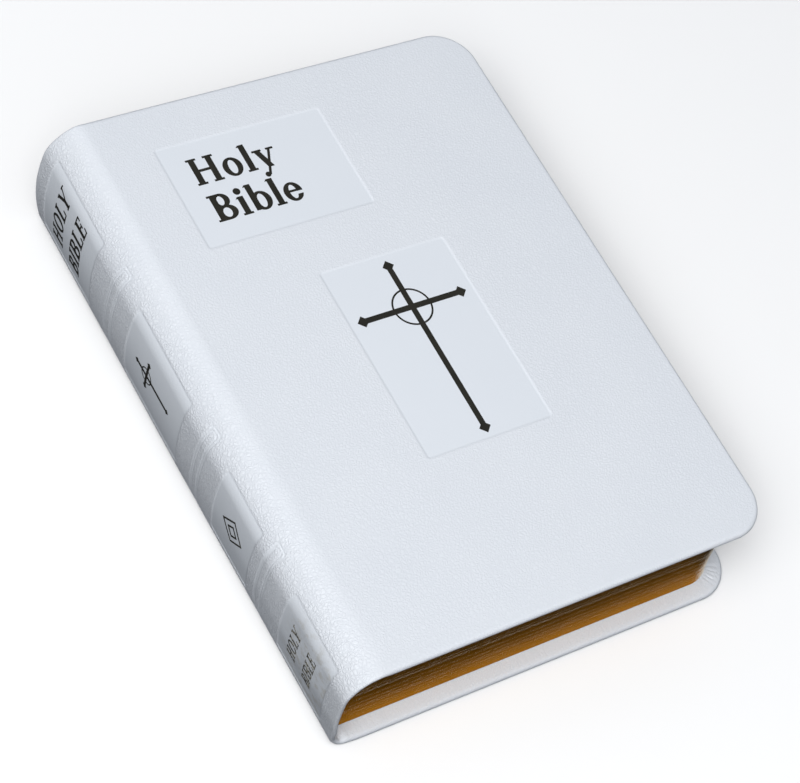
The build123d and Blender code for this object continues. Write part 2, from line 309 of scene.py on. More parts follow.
def leather_finish():
    """White bonded leather: soft pebbles and creases, pressed smooth in the stamps. Painted shade
    darkens the creases, most on the spine; a painted grey shade and rubbed tan foil lie at the
    spine's foot."""
    finish = Finish("white_leather")
    place = finish.attribute("rest_mm", "Vector")
    pressed = finish.attribute("pressed", "Fac")
    folded = finish.attribute("folded", "Fac")
    x, y, z = (finish.node("SeparateXYZ", {}, {0: place}, out=axis) for axis in range(3))
    drift = finish.node("TexNoise", {}, {"Vector": place, "Scale": 0.55, "Detail": 2.0}, out="Color")
    wandering = finish.node("VectorMath", {"operation": "MULTIPLY_ADD"},
                            {0: drift, 1: (1.5, 1.5, 1.5), 2: place})
    creases = finish.node("TexVoronoi", {"feature": "DISTANCE_TO_EDGE"},
                          {"Vector": wandering, "Scale": 1.05, "Randomness": 1.0})
    small_creases = finish.node("TexVoronoi", {"feature": "DISTANCE_TO_EDGE"},
                                {"Vector": wandering, "Scale": 2.3, "Randomness": 1.0})
    pebble = finish.step(creases, 0.0, 0.30)
    small_pebble = finish.step(small_creases, 0.0, 0.26)
    pores = finish.noise(place, 5.5, 2.0, 0.6)
    cloud = finish.noise(place, 0.045, 3.0, 0.55)
    on_spine = finish.step(x, front_joint - 1.0, spine_x + 2.5)
    relief = (pebble * 0.62 + small_pebble * 0.26 + pores * 0.20) * (0.50 + on_spine * 0.62)
    grain = relief * (1.0 - pressed * 0.88)
    streaks_y = finish.noise(finish.stretch(place, (1.5, 0.10, 0.3)), 1.0, 3.0, 0.6)
    streaks_x = finish.noise(finish.stretch(place, (0.10, 1.5, 0.3)), 1.0, 3.0, 0.6)
    past_end = finish.step(y.maths("ABSOLUTE", y, 0.0), half_height - 9.0, half_height - 4.0)
    strain = streaks_y * past_end + streaks_x * (1.0 - past_end)
    grain = grain + strain * folded * 1.1
    folds = (1.0 - pebble) * (1.0 - pressed)
    tone = finish.blend_colours(cloud, (0.655, 0.685, 0.730), (0.692, 0.718, 0.757))
    # Painted shade: the grain's creases are coloured a darker grey-blue, more on the spine than on
    # the covers.
    tone = finish.blend_colours(folds * (0.07 + on_spine * 0.11), tone, (0.42, 0.45, 0.50))
    tone = finish.blend_colours(pressed * 0.55, tone, (0.650, 0.688, 0.735))
    rubbing = finish.noise(place, 0.35, 4.0, 0.65)
    foot_shade_patches = finish.noise(place, 0.11, 3.0, 0.6)
    # Low on the spine toward the tail, mostly over the stamped panel: this region carries both a
    # painted grey shade and the real tan foil rubbed into the leather.
    foot_wear_and_shade = (finish.step(y, -52.0, -64.0) * finish.step(x, front_joint - 4.0, spine_x + 3.0)
              * finish.step(z, 35.0, 29.0) * (pressed * 0.92 + 0.08))
    # Painted shade: patches of grey shade laid over the lower spine.
    painted_foot_shade = foot_wear_and_shade * finish.step(foot_shade_patches, 0.40, 0.62) * 0.30
    tone = finish.blend_colours(painted_foot_shade, tone, (0.36, 0.38, 0.41))
    foot = foot_wear_and_shade * finish.step(rubbing, 0.47, 0.64)
    tone = finish.blend_colours(foot * 0.46, tone, (0.40, 0.375, 0.315))
    rough = 0.49 + cloud * 0.08 - pressed * 0.09 + foot * 0.12
    return finish.surface(base_color=tone, roughness=rough, ior=1.45,
                          normal=finish.bump(grain, 0.00016, 0.75))


white_leather = leather_finish()
lip_r = 1.1                       # half the thickness of the folded edge of a cover
cap_r = 0.68                      # the same at the spine's head and tail, where there is no board
cover_corner = 11.0
seam_reach = 10.5                 # how far over each cover the jointed skin runs
roll_steps = 10
pleat_depth = 0.34
touching = 1e-6                   # as good as no distance at all


def cover_skin(side, up, face, joint, fore, panels):
    """The leather of one cover, from the jointed skin to its three folded edges."""
    bend_r = cover_corner - lip_r
    edge_x, edge_y = fore - lip_r, half_height - lip_r
    marks_x = [mark for panel in panels for mark in panel[:2]]
    marks_y = [mark for panel in panels for mark in panel[2:]]
    across = stations(joint + seam_reach, edge_x, marks_x, grid_pitch)
    along = stations(-edge_y, edge_y, marks_y, grid_pitch)
    close = np.linspace(0, bend_r, 25)
    across = np.unique(np.concatenate([across[across < edge_x - bend_r], edge_x - close]))
    along = np.unique(np.concatenate([along[np.abs(along) < edge_y - bend_r],
                                      edge_y - close, close - edge_y]))
    x, y = np.meshgrid(across, along, indexing="ij")
    u = np.clip((x - edge_x + bend_r) / bend_r, 0, 1)
    v = np.clip((np.abs(y) - edge_y + bend_r) / bend_r, 0, 1)
    corner = (u > 0) & (v > 0)
    turned_x = edge_x - bend_r + bend_r * u * np.sqrt(1 - v * v / 2)
    turned_y = np.sign(y) * (edge_y - bend_r + bend_r * v * np.sqrt(1 - u * u / 2))
    x, y = np.where(corner, turned_x, x), np.where(corner, turned_y, y)
    sunk, flat = pressing(x, y, panels, [])
    calm = np.ones_like(x)
    for panel in panels:
        calm = np.minimum(calm, smooth(edge_distance(x, y, panel), 0.0, 6.0))
    z = face - up * sunk + up * slack(x, y) * calm
    rows, columns = x.shape
    points = np.stack([x, y, z], axis=-1).reshape(-1, 3)
    faces = bridge(rows, columns)
    grid = np.arange(rows * columns).reshape(rows, columns)
    rim = np.concatenate([grid[:, -1], grid[-1, -2::-1], grid[-2::-1, 0]])
    rim_x, rim_y = points[rim, 0], points[rim, 1]
    out_x = np.maximum(rim_x - (edge_x - bend_r), 0)
    out_y = np.sign(rim_y) * np.maximum(np.abs(rim_y) - (edge_y - bend_r), 0)
    on_end = np.abs(rim_y) > edge_y - touching
    out_x = np.where(on_end, np.where(rim_x > edge_x - bend_r, out_x, 0.0), out_x)
    length = np.maximum(np.hypot(out_x, out_y), 1e-9)
    out_x, out_y = out_x / length, out_y / length
    straight_fore = np.abs(rim_y) <= edge_y - bend_r
    out_x, out_y = np.where(straight_fore, 1.0, out_x), np.where(straight_fore, 0.0, out_y)
    lift = points[rim, 2] - face
    rings = [rim]
    total = [points]
    flats, folds = [flat.ravel()], [np.zeros(flat.size)]
    count = len(points)
    angle = np.arctan2(np.abs(out_y), out_x)
    in_corner = np.sin(2 * angle) ** 2
    pleats = np.abs(np.sin(angle * 19.0 + 0.6 * np.sin(angle * 7.0))) - 0.45
    insets = [0.0, 0.9, 1.8, 2.6, 3.3, 4.2, 6.0, 9.0]
    profile = [(lip_r * sin(pi * k / roll_steps), lip_r * (1 - cos(pi * k / roll_steps)))
               for k in range(1, roll_steps + 1)]
    profile += [(-inset, 2 * lip_r) for inset in insets[1:]] + [(-insets[-1], 1.7)]
    for place, (outward, depth) in enumerate(profile):
        fade = max(0.0, 1 - depth / (2 * lip_r))
        pleat = 0.0
        if place >= roll_steps:
            inset = -outward
            pleat = (pleat_depth * in_corner * pleats * smooth(inset, 0.2, 1.4)
                     * (1 - smooth(inset, 2.8, 4.0)))
        ring_points = np.stack([rim_x + out_x * outward, rim_y + out_y * outward,
                                face - up * (depth + pleat) + lift * fade], axis=-1)
        total.append(ring_points)
        flats.append(np.zeros(len(rim)))
        folds.append(np.full(len(rim), smooth(depth, lip_r, 2 * lip_r)))
        ring = count + np.arange(len(rim))
        faces += np.stack([rings[-1][:-1], ring[:-1], ring[1:], rings[-1][1:]], axis=-1).tolist()
        rings.append(ring)
        count += len(rim)
    faces.append(rings[-1].tolist())
    faces.append(grid[0, ::-1].tolist() + [ring[-1] for ring in rings[1:]]
                 + [ring[0] for ring in rings[:0:-1]])
    piece = make_piece(f"{side}_cover_skin", np.concatenate(total), faces, [white_leather],
                       sharp=50, pressed=np.concatenate(flats), folded=np.concatenate(folds))
    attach(piece, f"{side}_cover")
    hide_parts(f"{side}_cover_leather")
    return piece


cover_skin("front", 1, top_face, front_joint, front_high.x, front_panels)
cover_skin("back", -1, bottom_face, back_joint, back_high.x, [])

skin_marks_y = [mark for outline in spine_panels + spine_bands for mark in outline[2:]]
skin_marks_s = [mark for outline in spine_panels[:1] + spine_bands[:1] for mark in outline[:2]]
skin_half = half_height - lip_r
skin_y = stations(-skin_half, skin_half, skin_marks_y, grid_pitch) / skin_half
foot_retreat = 0.9                # how far the skin's ends draw in at the foot of the spine


def jointed_skin(name, begin, end, start, stop, replaced):
    """A stretch of the leather round the spine, across the place where two bodies meet."""
    rings = stations(begin, end, skin_marks_s, 0.5)
    creases = [around(level) for level in flex_levels] + [0.0, skin_length]
    close = np.concatenate([mark + np.arange(-2.6, 2.61, 0.2) for mark in creases]
                           + [[begin + 0.1, end - 0.1]])
    rings = np.concatenate([rings, close[(close > begin) & (close < end)]])
    rings = np.unique(np.round(rings, 2))
    rings = np.concatenate([[begin], rings[(rings > begin + 0.05) & (rings < end - 0.05)], [end]])
    boarded = 1 - smooth(rings, -0.5, 3.0) + smooth(rings - skin_length, -3.0, 0.5)
    loops, flats, folds = [], [], []
    for s, board in zip(rings, boarded):
        r = cap_r + (lip_r - cap_r) * board
        edge = half_height - r - foot_retreat * np.exp(-((s - skin_length + 6.5) / 5.5) ** 2)
        y = skin_y * edge
        sunk, flat = pressing(np.full_like(y, s), y, spine_panels, spine_bands)
        on_curve = smooth(s, -2.0, 4.0) * (1 - smooth(s, skin_length - 4.0, skin_length + 2.0))
        calm = 1 - on_curve * 0.5
        flat_x = front_joint - s if s < 0 else back_joint + s - skin_length
        wave = slack(np.full_like(y, flat_x if s < 0 or s > skin_length else s), y) * calm
        if 0 <= s <= skin_length:
            wave = wave * smooth(min(s, skin_length - s), 0.0, 6.0) * (1 - flat)
        depths = [sunk - wave]
        ys = [y]
        turn = [pi * k / roll_steps for k in range(1, roll_steps + 1)]
        lining = 0.8 + 0.9 * board
        inner_edge = 78.6 - 8.1 * board
        head_y = [edge + r * sin(t) for t in turn] + [inner_edge, inner_edge]
        head_depth = [r * (1 - cos(t)) for t in turn] + [2 * r, lining]
        ys += [np.array(head_y), -np.array(head_y[::-1])]
        depths += [np.array(head_depth), np.array(head_depth[::-1])]
        ys, depths = np.concatenate(ys), np.concatenate(depths)
        px, pz = spine_point(np.full_like(ys, s), depths, ys)
        loops.append(np.stack([px, ys, pz], axis=-1))
        flats.append(np.concatenate([flat, np.zeros(len(ys) - len(flat))]))
        rolled = np.where(np.abs(ys) > edge - touching, depths, depths * (depths > 0.5))
        folds.append(smooth(rolled, r, 2 * r))
    count = len(loops[0])
    faces = bridge(len(loops), count, closed=True)
    faces += [list(range(count)), list(range((len(loops) - 1) * count, len(loops) * count))]
    piece = make_piece(name, np.concatenate(loops), faces, [white_leather], sharp=50,
                       pressed=np.concatenate(flats), folded=np.concatenate(folds))
    [v * MM for v in start]
    [v * MM for v in stop]
    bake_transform(piece)
    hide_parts(*replaced)
    return piece


joint_flex, spine_flex = 2.2, 2.0
strip_cuts = [30.5, sum(flex_levels[:2]) / 2, sum(flex_levels[1:]) / 2]     # heights
foot_seam = 6.5
seams = [-seam_reach, *(around(cut) for cut in strip_cuts), around(foot_seam),
         skin_length + seam_reach]
skins = [
    ("skin_front_joint", ("front_cover", "block_1"), (front_joint + joint_flex, 0, top_face),
     (front_joint - joint_flex, 0, top_face), ("front_cover_leather", "spine_leather_1")),
    ("skin_front_quarter", ("block_1", "block_2"), (spine_x, 0, flex_levels[0] + spine_flex),
     (spine_x, 0, flex_levels[0] - spine_flex), ("spine_leather_1", "spine_leather_2")),
    ("skin_centre", ("block_2", "block_3"), (spine_x, 0, flex_levels[1] + spine_flex),
     (spine_x, 0, flex_levels[1] - spine_flex), ("spine_leather_2", "spine_leather_3")),
    ("skin_back_quarter", ("block_3", "block_4"), (spine_x, 0, flex_levels[2] + spine_flex),
     (spine_x, 0, flex_levels[2] - spine_flex), ("spine_leather_3", "spine_leather_4")),
    ("skin_back_joint", ("block_4", "back_cover"), (back_joint - joint_flex, 0, bottom_face),
     (back_joint + joint_flex, 0, bottom_face), ("spine_leather_4", "back_cover_leather")),
]
for (name, bodies, start, stop, replaced), begin, end in zip(skins, seams, seams[1:]):
    jointed_skin(name, begin, end, start, stop, replaced)


# ---------------------------------------------------------------------------------------------
# Boards, infill cards and the spine card: thin grey-white binder's card, cut to size and glued
# inside the leather. Open starched cloth and waxed thread lie between the card and the folds.
# ---------------------------------------------------------------------------------------------
def card_finish():
    finish = Finish("binders_card")
    place = finish.node("TexCoord", {}, {}, out="Object")
    fibres = finish.noise(finish.stretch(place, (900.0, 2600.0, 2600.0)), 1.0, 4.0, 0.6)
    tone = finish.blend_colours(fibres, (0.56, 0.53, 0.47), (0.70, 0.68, 0.62))
    return finish.surface(base_color=tone, roughness=0.86, normal=finish.bump(fibres, 0.00005, 0.6))


def cloth_finish(name, low, high, threads):
    """Woven threads, as many to the millimetre along Y and Z as given."""
    finish = Finish(name)
    place = finish.node("TexCoord", {}, {}, out="Object")
    y, z = (finish.node("SeparateXYZ", {}, {0: place}, out=axis) for axis in (1, 2))
    turns = threads * 2 * pi / MM
    warp, weft = (axis.maths("SINE", axis * turns, 0.0) for axis in (y, z))
    weave = (warp * weft) * 0.5 + 0.5
    fluff = finish.noise(place, 2200.0, 3.0, 0.6)
    tone = finish.blend_colours(weave * 0.6 + fluff * 0.4, low, high)
    return finish.surface(base_color=tone, roughness=0.9, normal=finish.bump(weave, 0.00008, 0.8))


card = card_finish()
mull_cloth = cloth_finish("mull_cloth", (0.62, 0.58, 0.48), (0.86, 0.83, 0.75), 1.3)
thread = cloth_finish("linen_thread", (0.60, 0.54, 0.42), (0.88, 0.84, 0.74), 3.0)


def give_finish(node, finish):
    mesh = frame["nodes"][node].data
    mesh.materials.clear()
    mesh.materials.append(finish)


for node in ("front_board", "back_board", "front_infill", "back_infill"):
    give_finish(node, card)
for n in range(1, 5):
    give_finish(f"spine_inlay_{n}", card)
    give_finish(f"mull_{n}", mull_cloth)
    give_finish(f"sewing_thread_{n}", thread)


# ---------------------------------------------------------------------------------------------
# Leaf blocks. Each is twelve folded sections of thin bible paper. The three cut edges are
# rounded at the fore corners, gilded and burnished; the folds face the spine.
# ---------------------------------------------------------------------------------------------
def gilt_finish():
    finish = Finish("burnished_gilt_painted_shade")
    place = finish.attribute("rest_mm", "Vector")
    z = finish.node("SeparateXYZ", {}, {0: place}, out=2)
    leaves = finish.noise(finish.stretch(place, (0.05, 0.05, 9.0)), 1.0, 4.0, 0.7)
    streaks = finish.noise(finish.stretch(place, (0.10, 0.10, 2.2)), 1.0, 3.0, 0.6)
    patches = finish.noise(place, 0.07, 3.0, 0.6)
    # Painted shade: the gilt is coloured dark brown at the top, in the front cover's shadow, and
    # gold toward the bottom; streaks and patches vary it at random.
    depth = finish.step(z, top_face - 1.0, bottom_face + 3.0)
    light = depth * 0.76 + streaks * 0.16 + patches * 0.20 - 0.25
    golds_in_painted_shade = [(0.0, (0.100, 0.052, 0.004)), (0.35, (0.22, 0.116, 0.008)),
             (0.7, (0.40, 0.208, 0.016)), (1.0, (0.60, 0.320, 0.040))]
    tone = finish.node("ValToRGB", {"stops": golds_in_painted_shade}, {"Fac": light})
    rough = 0.30 + leaves * 0.16
    return finish.surface(base_color=tone, metallic=1.0, roughness=rough,
                          specular_tint=(1.0, 0.55, 0.20, 1.0),
                          normal=finish.bump(leaves, 0.00006, 0.42))


def page_finish():
    """Thin cream paper with two columns of grey, broken lines that stand for print."""
    finish = Finish("printed_page")
    place = finish.attribute("rest_mm", "Vector")
    x, y = (finish.node("SeparateXYZ", {}, {0: place}, out=axis) for axis in (0, 1))
    middle = (front_joint + front_high.x) / 2
    column = 0.0
    for left, right in ((middle - 44.0, middle - 2.0), (middle + 3.0, middle + 45.0)):
        column = finish.step(x, left, left + 0.4) * finish.step(x, right, right - 0.4) + column
    body = finish.step(y, -68.0, -67.4) * finish.step(y, 66.0, 65.4)
    line_pitch = 2.55
    rows = y.maths("SINE", y * (2 * pi / line_pitch), 0.0)
    ink_rows = finish.step(rows, 0.05, 0.45)
    row_number = y.maths("FLOOR", y * (1 / line_pitch) + 0.25, 0.0)
    word_place = finish.node("CombineXYZ", {}, {"X": x * 0.62, "Y": row_number * 7.3, "Z": 0.0})
    words = finish.node("TexNoise", {}, {"Vector": word_place, "Scale": 1.0, "Detail": 0.0})
    letter_place = finish.node("CombineXYZ", {}, {"X": x * 2.6, "Y": y * 2.2, "Z": row_number})
    letters = finish.node("TexNoise", {}, {"Vector": letter_place, "Scale": 1.0, "Detail": 1.0})
    ink = (column * body * ink_rows * finish.step(words, 0.40, 0.46)
           * finish.step(letters, 0.38, 0.52))
    fibre = finish.noise(place, 1.8, 4.0, 0.6)
    paper = finish.blend_colours(fibre, (0.730, 0.695, 0.600), (0.780, 0.750, 0.665))
    tone = finish.blend_colours(ink * 0.72, paper, (0.12, 0.115, 0.11))
    return finish.surface(base_color=tone, roughness=0.78, normal=finish.bump(fibre, 0.00003, 0.5))


def fold_finish():
    finish = Finish("folded_sections")
    place = finish.attribute("rest_mm", "Vector")
    leaves = finish.noise(finish.stretch(place, (0.1, 0.1, 8.0)), 1.0, 3.0, 0.6)
    tone = finish.blend_colours(leaves, (0.62, 0.57, 0.45), (0.82, 0.79, 0.70))
    return finish.surface(base_color=tone, roughness=0.8, normal=finish.bump(leaves, 0.00008, 0.7))


gilt, page, fold_paper = gilt_finish(), page_finish(), fold_finish()
block_corner = 8.5
sections = 12
page_gap = 0.03                   # room between blocks for the leaves that run from one to the next
section_gap = 0.004               # room between two sections of one block
unevenness = 0.012                # how far a section may stand in or out
side_points = 9                   # along each section's fold
draw = np.random.default_rng(48)


def section_outline(left, z, right, half, inset):
    """Plan of one section: square at the fold, rounded at the fore corners."""
    s = around(z)
    lean = max(-(spine_point(s, 0.0, 0.0)[0] - spine_point(s, 1.0, 0.0)[0]), 0.36)
    r = block_corner - inset
    right, half = right - inset, half - inset
    quarter = np.linspace(0, pi / 2, 13)
    low = [(right - r + r * sin(a), -half + r - r * cos(a)) for a in quarter]
    high = [(right - r + r * cos(a), half - r + r * sin(a)) for a in quarter]
    side = [(left + settling(s, y) / lean, y) for y in np.linspace(half, -half, side_points)]
    tail = [(x, -half) for x in np.linspace(side[-1][0], right - r, 7)[1:-1]]
    head = [(x, half) for x in np.linspace(right - r, side[0][0], 7)[1:-1]]
    return np.array(side + tail + low + high + head)


for n in range(1, 5):
    node = f"leaves_{n}"
    solid = np.array([v.co for v in frame["nodes"][node].data.vertices]) / MM
    low, high = solid.min(0), solid.max(0)
    pitch = (high[2] - low[2]) / sections
    points, faces, finish_of = [], [], []
    for k in range(sections):
        top = high[2] - k * pitch - (page_gap if k == 0 else section_gap)
        bottom = high[2] - (k + 1) * pitch + (page_gap if k == sections - 1 else section_gap)
        here = solid[(solid[:, 2] > bottom - 0.1) & (solid[:, 2] < top + 0.1)]
        left, right = here[:, 0].min(), here[:, 0].max()
        shift = draw.uniform(-unevenness, unevenness, 2)
        # Height, how far the cut edges stand in there, and how far the fold does.
        levels = [(top, 0.012, 0.16), (top - 0.04, 0.003, 0.05), ((top + bottom) / 2, 0.0, 0.0),
                  (bottom + 0.04, 0.003, 0.05), (bottom, 0.012, 0.16)]
        first = len(points)
        for z, inset, fold in levels:
            ring = section_outline(left + fold, z, right + shift[0], high[1] + shift[1], inset)
            points += [(x, y, z) for x, y in ring]
        size = len(ring)
        sides = bridge(len(levels), size, first, closed=True)
        faces += sides
        finish_of += [2 if (face[0] - first) % size < side_points - 1 else 0 for face in sides]
        faces += [list(range(first, first + size)), list(range(len(points) - size, len(points)))]
        finish_of += [1, 1]
    piece = make_piece(f"leaf_block_{n}", points, faces, [gilt, page, fold_paper],
                       finish_of, sharp=12)
    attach(piece, f"block_{n}")
    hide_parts(node)


# The leaves that run over from one block to the next: a thin sheet doubled between the blocks.
gutter_reach = 9.0
layer, taper = 0.018, 0.009       # half the sheet's thickness at its fold, and its gain away from it
# How far inside the hinge each sheet turns back.
openings = {"front_quarter_opening": 1.7, "centre_opening": 1.8, "back_quarter_opening": 1.35}
for n, (level, (opening, fold_r)) in enumerate(zip(flex_levels, openings.items()), start=1):
    block_x = max(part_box(f"leaves_{n}")[0].x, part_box(f"leaves_{n + 1}")[0].x) / MM
    fold_x = joint_place(opening)[0] + fold_r
    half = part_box("leaves_2")[1].y / MM - 0.8
    run = np.linspace(block_x + gutter_reach - fold_x, 0, 14)
    turn = np.linspace(0, pi, 17)
    line = [(fold_x + d, level + layer + taper * d / run[0]) for d in run]
    line += [(fold_x - layer * sin(a), level + layer * cos(a)) for a in turn[1:-1]]
    line += [(fold_x + d, level - layer - taper * d / run[0]) for d in run[::-1]]
    ys = np.linspace(-half, half, 12)
    points = [(x, y, z) for x, z in line for y in ys]
    piece = make_piece(f"gutter_leaf_{n}", points, bridge(len(line), len(ys)), [page])
    f"block_{n + 1}"
    (level + layer * 0.9) * MM
    (level - layer * 0.9) * MM
    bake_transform(piece)


# ---------------------------------------------------------------------------------------------
# Endpapers: heavy smooth paper. One half is pasted to the inside of each cover, the other half
# is the flyleaf, tipped to the block by a narrow glue line; the fold between them covers the joint.
# ---------------------------------------------------------------------------------------------
def endpaper_finish():
    finish = Finish("endpaper")
    place = finish.node("TexCoord", {}, {}, out="Object")
    fibre = finish.noise(place, 1500.0, 4.0, 0.6)
    cloud = finish.noise(place, 60.0, 3.0, 0.5)
    mottle = cloud * 0.6 + fibre * 0.4
    tone = finish.blend_colours(mottle, (0.700, 0.690, 0.655), (0.745, 0.735, 0.705))
    return finish.surface(base_color=tone, roughness=0.7, normal=finish.bump(fibre, 0.00003, 0.5))


endpaper = endpaper_finish()
for side in ("front", "back"):
    give_finish(f"{side}_pastedown", endpaper)


def flyleaf(side, tip_x):
    low, high = (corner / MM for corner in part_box(f"{side}_flyleaf"))
    hinge_x = joint_place(f"{side}_flyleaf_lift")[0]
    r, bending = block_corner, hinge_x + 10
    across = np.unique(np.concatenate([np.linspace(tip_x, bending, 24),
                                       np.linspace(bending, high.x - r, 12),
                                       high.x - r + r * np.sin(np.linspace(0, pi / 2, 13))]))
    half = high.y
    reach = half - r + np.sqrt(np.maximum(r * r - np.maximum(across - high.x + r, 0) ** 2, 0.0))
    count, columns = len(across), 15
    points = [(x, share * limit, z) for z in (low.z, high.z) for x, limit in zip(across, reach)
              for share in np.linspace(-1, 1, columns)]
    faces = bridge(count, columns) + bridge(count, columns, count * columns)
    edge = np.arange(count * columns).reshape(count, columns)
    loop = np.concatenate([edge[:, 0], edge[-1, 1:], edge[-2::-1, -1], edge[0, -2:0:-1]])
    faces += [[a, b, b + count * columns, a + count * columns]
              for a, b in zip(loop, np.roll(loop, -1))]
    face_finish = [0] * (len(faces) - len(loop)) + [1] * len(loop)
    piece = make_piece(f"{side}_flyleaf_sheet", points, faces, [endpaper, gilt], face_finish,
                       sharp=40)
    (hinge_x - 1.0) * MM
    (hinge_x + 5.0) * MM
    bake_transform(piece)
    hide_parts(f"{side}_flyleaf")


def joint_paper(side, joint, up):
    """The endpaper's fold, from the pastedown's edge over the joint to the flyleaf's glue line."""
    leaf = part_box(f"{side}_flyleaf")[1 if up > 0 else 0].z / MM
    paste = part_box(f"{side}_pastedown")[0 if up > 0 else 1].z / MM
    paste_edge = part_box(f"{side}_pastedown")[0].x / MM
    xs = np.linspace(paste_edge + 0.6, joint - 1.4, 28)
    share = smooth(xs, joint - 1.0, joint + 0.6)
    zs = leaf + up * 0.02 + (paste - leaf - up * 0.04) * share
    paste_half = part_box(f"{side}_pastedown")[1].y / MM
    ys = np.linspace(-paste_half, paste_half, 14)
    points = [(x, y, z) for x, z in zip(xs, zs) for y in ys]
    piece = make_piece(f"{side}_joint_paper", points, bridge(len(xs), len(ys)), [endpaper])
    (joint + 1.5) * MM
    (joint - 1.2) * MM
    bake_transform(piece)


flyleaf("front", front_joint - 1.2)
flyleaf("back", back_joint - 0.4)
joint_paper("front", front_joint, 1)
joint_paper("back", back_joint, -1)


# ---------------------------------------------------------------------------------------------
# Headbands: a narrow rolled cloth band glued over each end of the folds, ribbed by its wrapping.
# ---------------------------------------------------------------------------------------------
def headband_finish():
    finish = Finish("headband_cloth")
    place = finish.attribute("rest_mm", "Vector")
    wraps = finish.noise(finish.stretch(place, (3.0, 0.6, 3.0)), 1.6, 2.0, 0.5)
    tone = finish.blend_colours(finish.step(wraps, 0.35, 0.62), (0.60, 0.56, 0.47),
                                (0.88, 0.87, 0.82))
    return finish.surface(base_color=tone, roughness=0.75, normal=finish.bump(wraps, 0.00015, 0.8))


headband_cloth = headband_finish()
band_r = 0.72
band_depth_below = 2.12
band_sides, ring_pitch, wrap_pitch = 12, 0.28, 0.84
band_seams = [6.5, *(around(cut) for cut in strip_cuts), around(foot_seam), around(4.6)]
for end_name, sign in (("head", 1), ("tail", -1)):
    band_y = sign * (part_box("leaves_2")[1].y / MM + band_r + 0.03)
    for n, (begin, end) in enumerate(zip(band_seams, band_seams[1:])):
        places = np.linspace(begin, end, max(int((end - begin) / ring_pitch), 4))
        loops = []
        for s in places:
            ribbed = band_r * (0.95 + 0.05 * sin(2 * pi * s / wrap_pitch))
            ring = np.linspace(0, 2 * pi, band_sides, endpoint=False)
            depth = band_depth_below + ribbed * np.cos(ring)
            px, pz = spine_point(np.full(band_sides, s), depth, band_y)
            loops.append(np.stack([px, band_y + ribbed * np.sin(ring), pz], axis=-1))
        faces = bridge(len(loops), band_sides, closed=True)
        faces += [list(range(band_sides)),
                  list(range(band_sides * (len(loops) - 1), band_sides * len(loops)))]
        piece = make_piece(f"{end_name}band_{n}", np.concatenate(loops), faces, [headband_cloth],
                           sharp=60)
        if n in (0, 4):
            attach(piece, "block_1" if n == 0 else "block_4")
        else:
            level = flex_levels[n - 1]
            f"block_{n + 1}"
            (level + spine_flex) * MM
            (level - spine_flex) * MM
            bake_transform(piece)
        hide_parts(*[f"headbands_{k}" for k in (1, 2, 3, 4) if k in (n, n + 1)])


# ---------------------------------------------------------------------------------------------
# Stamping foil: black pigment foil pressed into the leather, thin enough to take its relief.
# On the spine it is rubbed through towards the foot, and it is shaped to the curve of the leather
# under it.
# ---------------------------------------------------------------------------------------------
def foil_finish(name, worn):
    """Black foil. Worn foil is rubbed through, and takes its place in millimetres, not metres."""
    finish = Finish(name)
    if worn:
        place, unit = finish.attribute("rest_mm", "Vector"), 1.0
    else:
        place, unit = finish.node("TexCoord", {}, {}, out="Object"), 1000.0
    specks = finish.noise(place, 2.4 * unit, 3.0, 0.6)
    broad = finish.noise(place, 0.25 * unit, 2.0, 0.5)
    tone = finish.blend_colours(broad, (0.011, 0.011, 0.009), (0.030, 0.028, 0.022))
    tone = finish.blend_colours(finish.step(specks, 0.66, 0.78) * 0.5, tone, (0.12, 0.115, 0.10))
    sockets = dict(base_color=tone, roughness=0.38 + specks * 0.16, specular_ior_level=0.16,
                   normal=finish.bump(specks, 0.00003, 0.6))
    if worn:
        y = finish.node("SeparateXYZ", {}, {0: place}, out=1)
        low = finish.step(y, -20.0, -60.0)
        flakes = finish.noise(place, 0.95, 4.0, 0.7)
        tone = finish.blend_colours(low * finish.step(flakes, 0.44, 0.60), tone, (0.27, 0.255, 0.21))
        sockets["base_color"] = tone
        sockets["alpha"] = 1.0 - finish.step(flakes, 0.47, 0.42) * finish.step(y, -46.0, -64.0)
    return finish.surface(**sockets)


cover_foil = foil_finish("cover_foil", False)
spine_foil = foil_finish("spine_foil", True)
give_finish("title_foil", cover_foil)
give_finish("cross_foil", cover_foil)

foil_lift = 0.02                  # how far the foil stands above the bottom of its stamp
letter_cuts = np.arange(4.2, 36.0, 0.8)           # heights, close enough for letters to bend round


def everything_in(shape):
    return shape.verts[:] + shape.edges[:] + shape.faces[:]


